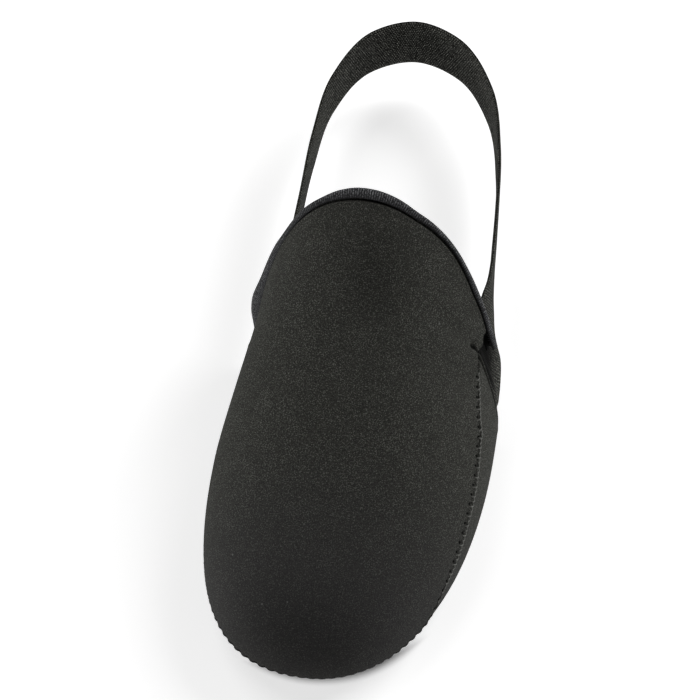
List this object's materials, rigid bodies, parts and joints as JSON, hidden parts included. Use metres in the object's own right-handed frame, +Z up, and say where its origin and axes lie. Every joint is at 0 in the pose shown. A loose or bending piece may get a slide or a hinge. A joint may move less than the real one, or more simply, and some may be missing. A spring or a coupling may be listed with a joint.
{
  "type": "toe cover",
  "caption": "Stretch foam-cloth cover drawn over the front half of a left shoe, open at the back with a taped collar and held on by an elastic strap round the heel",
  "frame": {"origin": "On the floor, under the middle of the whole cover with its heel strap", "axes": "+X to the outer side of the left foot, +Y from the toe back to the heel, +Z up"},
  "size_m": [0.112, 0.2958, 0.0983],
  "materials": {
    "foam_cloth_upper": "matt black knit face over foam rubber",
    "foam_cloth_sole": "matt black knit face over foam rubber, drawn tight under the foot",
    "ribbed_tape": "black cross-ribbed elastic binding tape",
    "woven_elastic": "black woven elastic webbing"
  },
  "bodies": {
    "root": {"upper": "foam_cloth_upper", "sole": "foam_cloth_sole", "collar_binding": "ribbed_tape", "heel_strap": "woven_elastic"}
  },
  "joints": []
}
